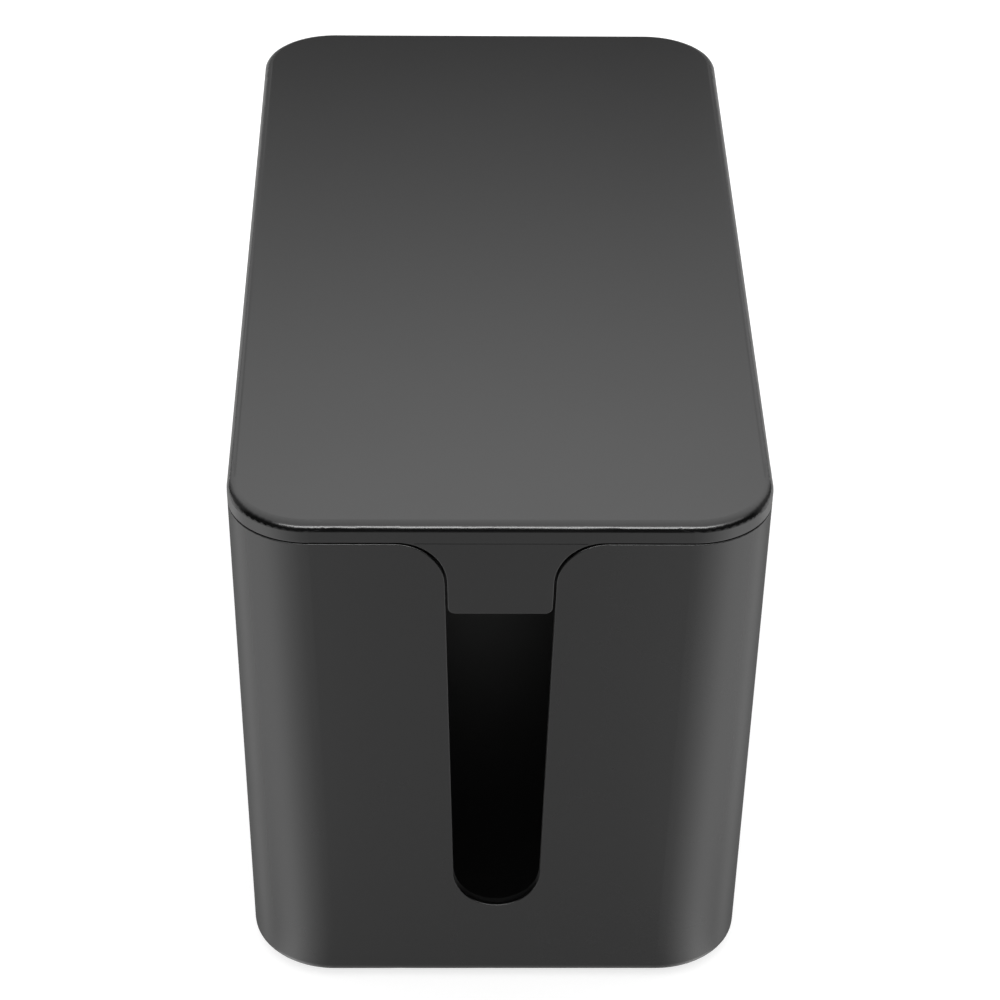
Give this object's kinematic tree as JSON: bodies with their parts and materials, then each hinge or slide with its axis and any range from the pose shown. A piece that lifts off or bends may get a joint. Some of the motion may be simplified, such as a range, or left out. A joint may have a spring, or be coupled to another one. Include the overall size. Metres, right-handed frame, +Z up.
{
  "type": "cable management box",
  "caption": "Tall rounded plastic box with a lift-off lid and a lead slot in each end, which hides a plug strip and its leads.",
  "frame": {"origin": "centre of the footprint, on the plane that the rubber feet stand on", "axes": "+Z up, +Y along the box's length, with the pictured end facing -Y, +X across it to the right of that view"},
  "size_m": [0.118, 0.234, 0.1285],
  "materials": {
    "box_plastic": "satin",
    "lid_plastic": "satin",
    "foot_rubber": "matte",
    "foot_adhesive": "matte"
  },
  "bodies": {
    "box": {"base_box": "box_plastic", "foot_front_left": "foot_rubber", "foot_front_right": "foot_rubber", "foot_rear_left": "foot_rubber", "foot_rear_right": "foot_rubber", "foot_tape_front_left": "foot_adhesive", "foot_tape_front_right": "foot_adhesive", "foot_tape_rear_left": "foot_adhesive", "foot_tape_rear_right": "foot_adhesive"},
    "lid": {"lid": "lid_plastic"}
  },
  "joints": [
    {"name": "lid_lift", "type": "slide", "parent": "box", "child": "lid", "axis": [0, 0, 1], "range_m": [0, 0.15]}
  ]
}
